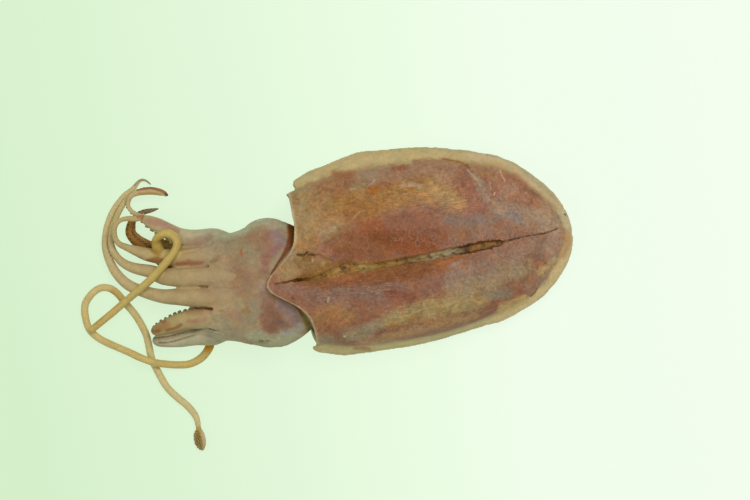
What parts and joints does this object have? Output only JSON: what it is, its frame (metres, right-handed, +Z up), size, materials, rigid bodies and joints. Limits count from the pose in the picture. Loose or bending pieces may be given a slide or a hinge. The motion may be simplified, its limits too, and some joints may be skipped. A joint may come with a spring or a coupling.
{
  "type": "preserved cuttlefish",
  "caption": "Preserved cuttlefish lying belly down, with a broad oval mantle edged by fins, short curled arms and long looped tentacles, as a still life-size model.",
  "frame": {"origin": "on the floor, in the middle of the whole specimen's box", "axes": "+X towards the tail, +Y towards the animal's right side, +Z up from the floor"},
  "size_m": [0.0844, 0.052, 0.0136],
  "materials": {
    "mantle_skin": "moist satin, mottled",
    "fin_skin": "moist satin",
    "head_skin": "moist satin, mottled",
    "arm_skin": "moist satin",
    "tentacle_skin": "moist satin",
    "eye": "gloss",
    "beak": "satin horn"
  },
  "bodies": {
    "root": {"arm_1_left_base": "arm_skin", "arm_1_left_middle": "arm_skin", "arm_1_left_tip": "arm_skin", "arm_1_right_base": "arm_skin", "arm_1_right_middle": "arm_skin", "arm_1_right_tip": "arm_skin", "arm_2_left_base": "arm_skin", "arm_2_left_middle": "arm_skin", "arm_2_left_tip": "arm_skin", "arm_2_right_base": "arm_skin", "arm_2_right_middle": "arm_skin", "arm_2_right_tip": "arm_skin", "arm_3_left_base": "arm_skin", "arm_3_left_middle": "arm_skin", "arm_3_left_tip": "arm_skin", "arm_3_right_base": "arm_skin", "arm_3_right_middle": "arm_skin", "arm_3_right_tip": "arm_skin", "arm_4_left_base": "arm_skin", "arm_4_left_tip": "arm_skin", "arm_4_right_base": "arm_skin", "arm_4_right_middle": "arm_skin", "arm_4_right_tip": "arm_skin", "beak": "beak", "buccal_mass": "head_skin", "eye_left": "eye", "eye_right": "eye", "fin_left": "fin_skin", "fin_right": "fin_skin", "funnel": "head_skin", "head": "head_skin", "mantle": "mantle_skin", "tentacle_left_bend": "tentacle_skin", "tentacle_left_club": "tentacle_skin", "tentacle_left_crossing": "tentacle_skin", "tentacle_left_end": "tentacle_skin", "tentacle_left_return": "tentacle_skin", "tentacle_left_root": "tentacle_skin", "tentacle_right_ring": "tentacle_skin", "tentacle_right_root": "tentacle_skin", "tentacle_right_shaft": "tentacle_skin"}
  },
  "joints": []
}
